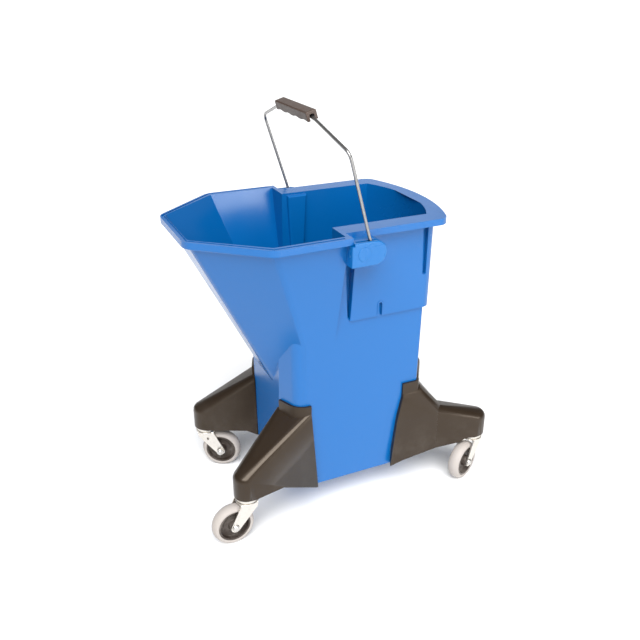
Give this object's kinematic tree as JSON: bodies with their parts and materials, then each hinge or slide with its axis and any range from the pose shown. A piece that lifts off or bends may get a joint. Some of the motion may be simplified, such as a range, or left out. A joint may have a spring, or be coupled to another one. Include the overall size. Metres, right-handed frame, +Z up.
{
  "type": "wheeled mop bucket",
  "caption": "Wheeled mop bucket with a wide pouring hopper, a flanged end for a wringer, a wire bail handle with a moulded grip, splayed plastic legs and swivel castors.",
  "frame": {"origin": "on the floor, under the middle of the bucket's overall length and width", "axes": "+Z up; -X is the way the pouring hopper points and +X is the wringer end; left in the names means -Y and right means +Y"},
  "size_m": [0.5499, 0.3424, 0.7122],
  "materials": {
    "blue_plastic": "glossy moulded polypropylene",
    "blue_cap": "glossy moulded polypropylene",
    "black_plastic": "satin moulded plastic",
    "grip_plastic": "satin moulded plastic",
    "zinc": "bright zinc plated pressing",
    "wire_chrome": "plated wire",
    "grey_rubber": "grey non-marking rubber",
    "hub_plastic": "satin moulded plastic",
    "steel": "zinc plated"
  },
  "bodies": {
    "bucket": {"bucket_body": "blue_plastic", "pivot_cap_left": "blue_cap", "pivot_cap_right": "blue_cap", "front_left_leg": "black_plastic", "front_left_leg_lower_screw": "steel", "front_left_leg_upper_screw": "steel", "front_left_race": "zinc", "front_left_stem": "steel", "front_right_leg": "black_plastic", "front_right_leg_lower_screw": "steel", "front_right_leg_upper_screw": "steel", "front_right_race": "zinc", "front_right_stem": "steel", "rear_left_leg": "black_plastic", "rear_left_leg_lower_screw": "steel", "rear_left_leg_upper_screw": "steel", "rear_left_race": "zinc", "rear_left_stem": "steel", "rear_right_leg": "black_plastic", "rear_right_leg_lower_screw": "steel", "rear_right_leg_upper_screw": "steel", "rear_right_race": "zinc", "rear_right_stem": "steel"},
    "bail": {"handle_bail": "wire_chrome", "handle_grip": "grip_plastic"},
    "front_left_fork_body": {"front_left_fork": "zinc", "front_left_axle_bolt": "steel", "front_left_axle_nut": "steel", "front_left_sleeve": "steel"},
    "front_left_wheel": {"front_left_hub": "hub_plastic", "front_left_tyre": "grey_rubber"},
    "front_right_fork_body": {"front_right_fork": "zinc", "front_right_axle_bolt": "steel", "front_right_axle_nut": "steel", "front_right_sleeve": "steel"},
    "front_right_wheel": {"front_right_hub": "hub_plastic", "front_right_tyre": "grey_rubber"},
    "rear_left_fork_body": {"rear_left_fork": "zinc", "rear_left_axle_bolt": "steel", "rear_left_axle_nut": "steel", "rear_left_sleeve": "steel"},
    "rear_left_wheel": {"rear_left_hub": "hub_plastic", "rear_left_tyre": "grey_rubber"},
    "rear_right_fork_body": {"rear_right_fork": "zinc", "rear_right_axle_bolt": "steel", "rear_right_axle_nut": "steel", "rear_right_sleeve": "steel"},
    "rear_right_wheel": {"rear_right_hub": "hub_plastic", "rear_right_tyre": "grey_rubber"}
  },
  "joints": [
    {"name": "bail_swing", "type": "hinge", "parent": "bucket", "child": "bail", "pos_m": [-0.0036, 0, 0.51], "axis": [0, 1, 0], "range_deg": [-31, 127]},
    {"name": "front_left_swivel", "type": "hinge", "parent": "bucket", "child": "front_left_fork_body", "pos_m": [-0.2105, -0.1185, 0.0842], "axis": [0, 0, 1], "continuous": true},
    {"name": "front_left_roll", "type": "hinge", "parent": "front_left_fork_body", "child": "front_left_wheel", "pos_m": [-0.23896, -0.11999, 0.0375], "axis": [-0.0523, 0.9986, 0], "continuous": true},
    {"name": "front_right_swivel", "type": "hinge", "parent": "bucket", "child": "front_right_fork_body", "pos_m": [-0.2105, 0.1185, 0.0842], "axis": [0, 0, 1], "continuous": true},
    {"name": "front_right_roll", "type": "hinge", "parent": "front_right_fork_body", "child": "front_right_wheel", "pos_m": [-0.18557, 0.10468, 0.0375], "axis": [-0.4848, -0.8746, 0], "continuous": true},
    {"name": "rear_left_swivel", "type": "hinge", "parent": "bucket", "child": "rear_left_fork_body", "pos_m": [0.251, -0.1185, 0.0842], "axis": [0, 0, 1], "continuous": true},
    {"name": "rear_left_roll", "type": "hinge", "parent": "rear_left_fork_body", "child": "rear_left_wheel", "pos_m": [0.22511, -0.13041, 0.0375], "axis": [-0.4179, 0.9085, 0], "continuous": true},
    {"name": "rear_right_swivel", "type": "hinge", "parent": "bucket", "child": "rear_right_fork_body", "pos_m": [0.251, 0.1185, 0.0842], "axis": [0, 0, 1], "continuous": true},
    {"name": "rear_right_roll", "type": "hinge", "parent": "rear_right_fork_body", "child": "rear_right_wheel", "pos_m": [0.22854, 0.13605, 0.0375], "axis": [0.6157, 0.788, 0], "continuous": true}
  ]
}
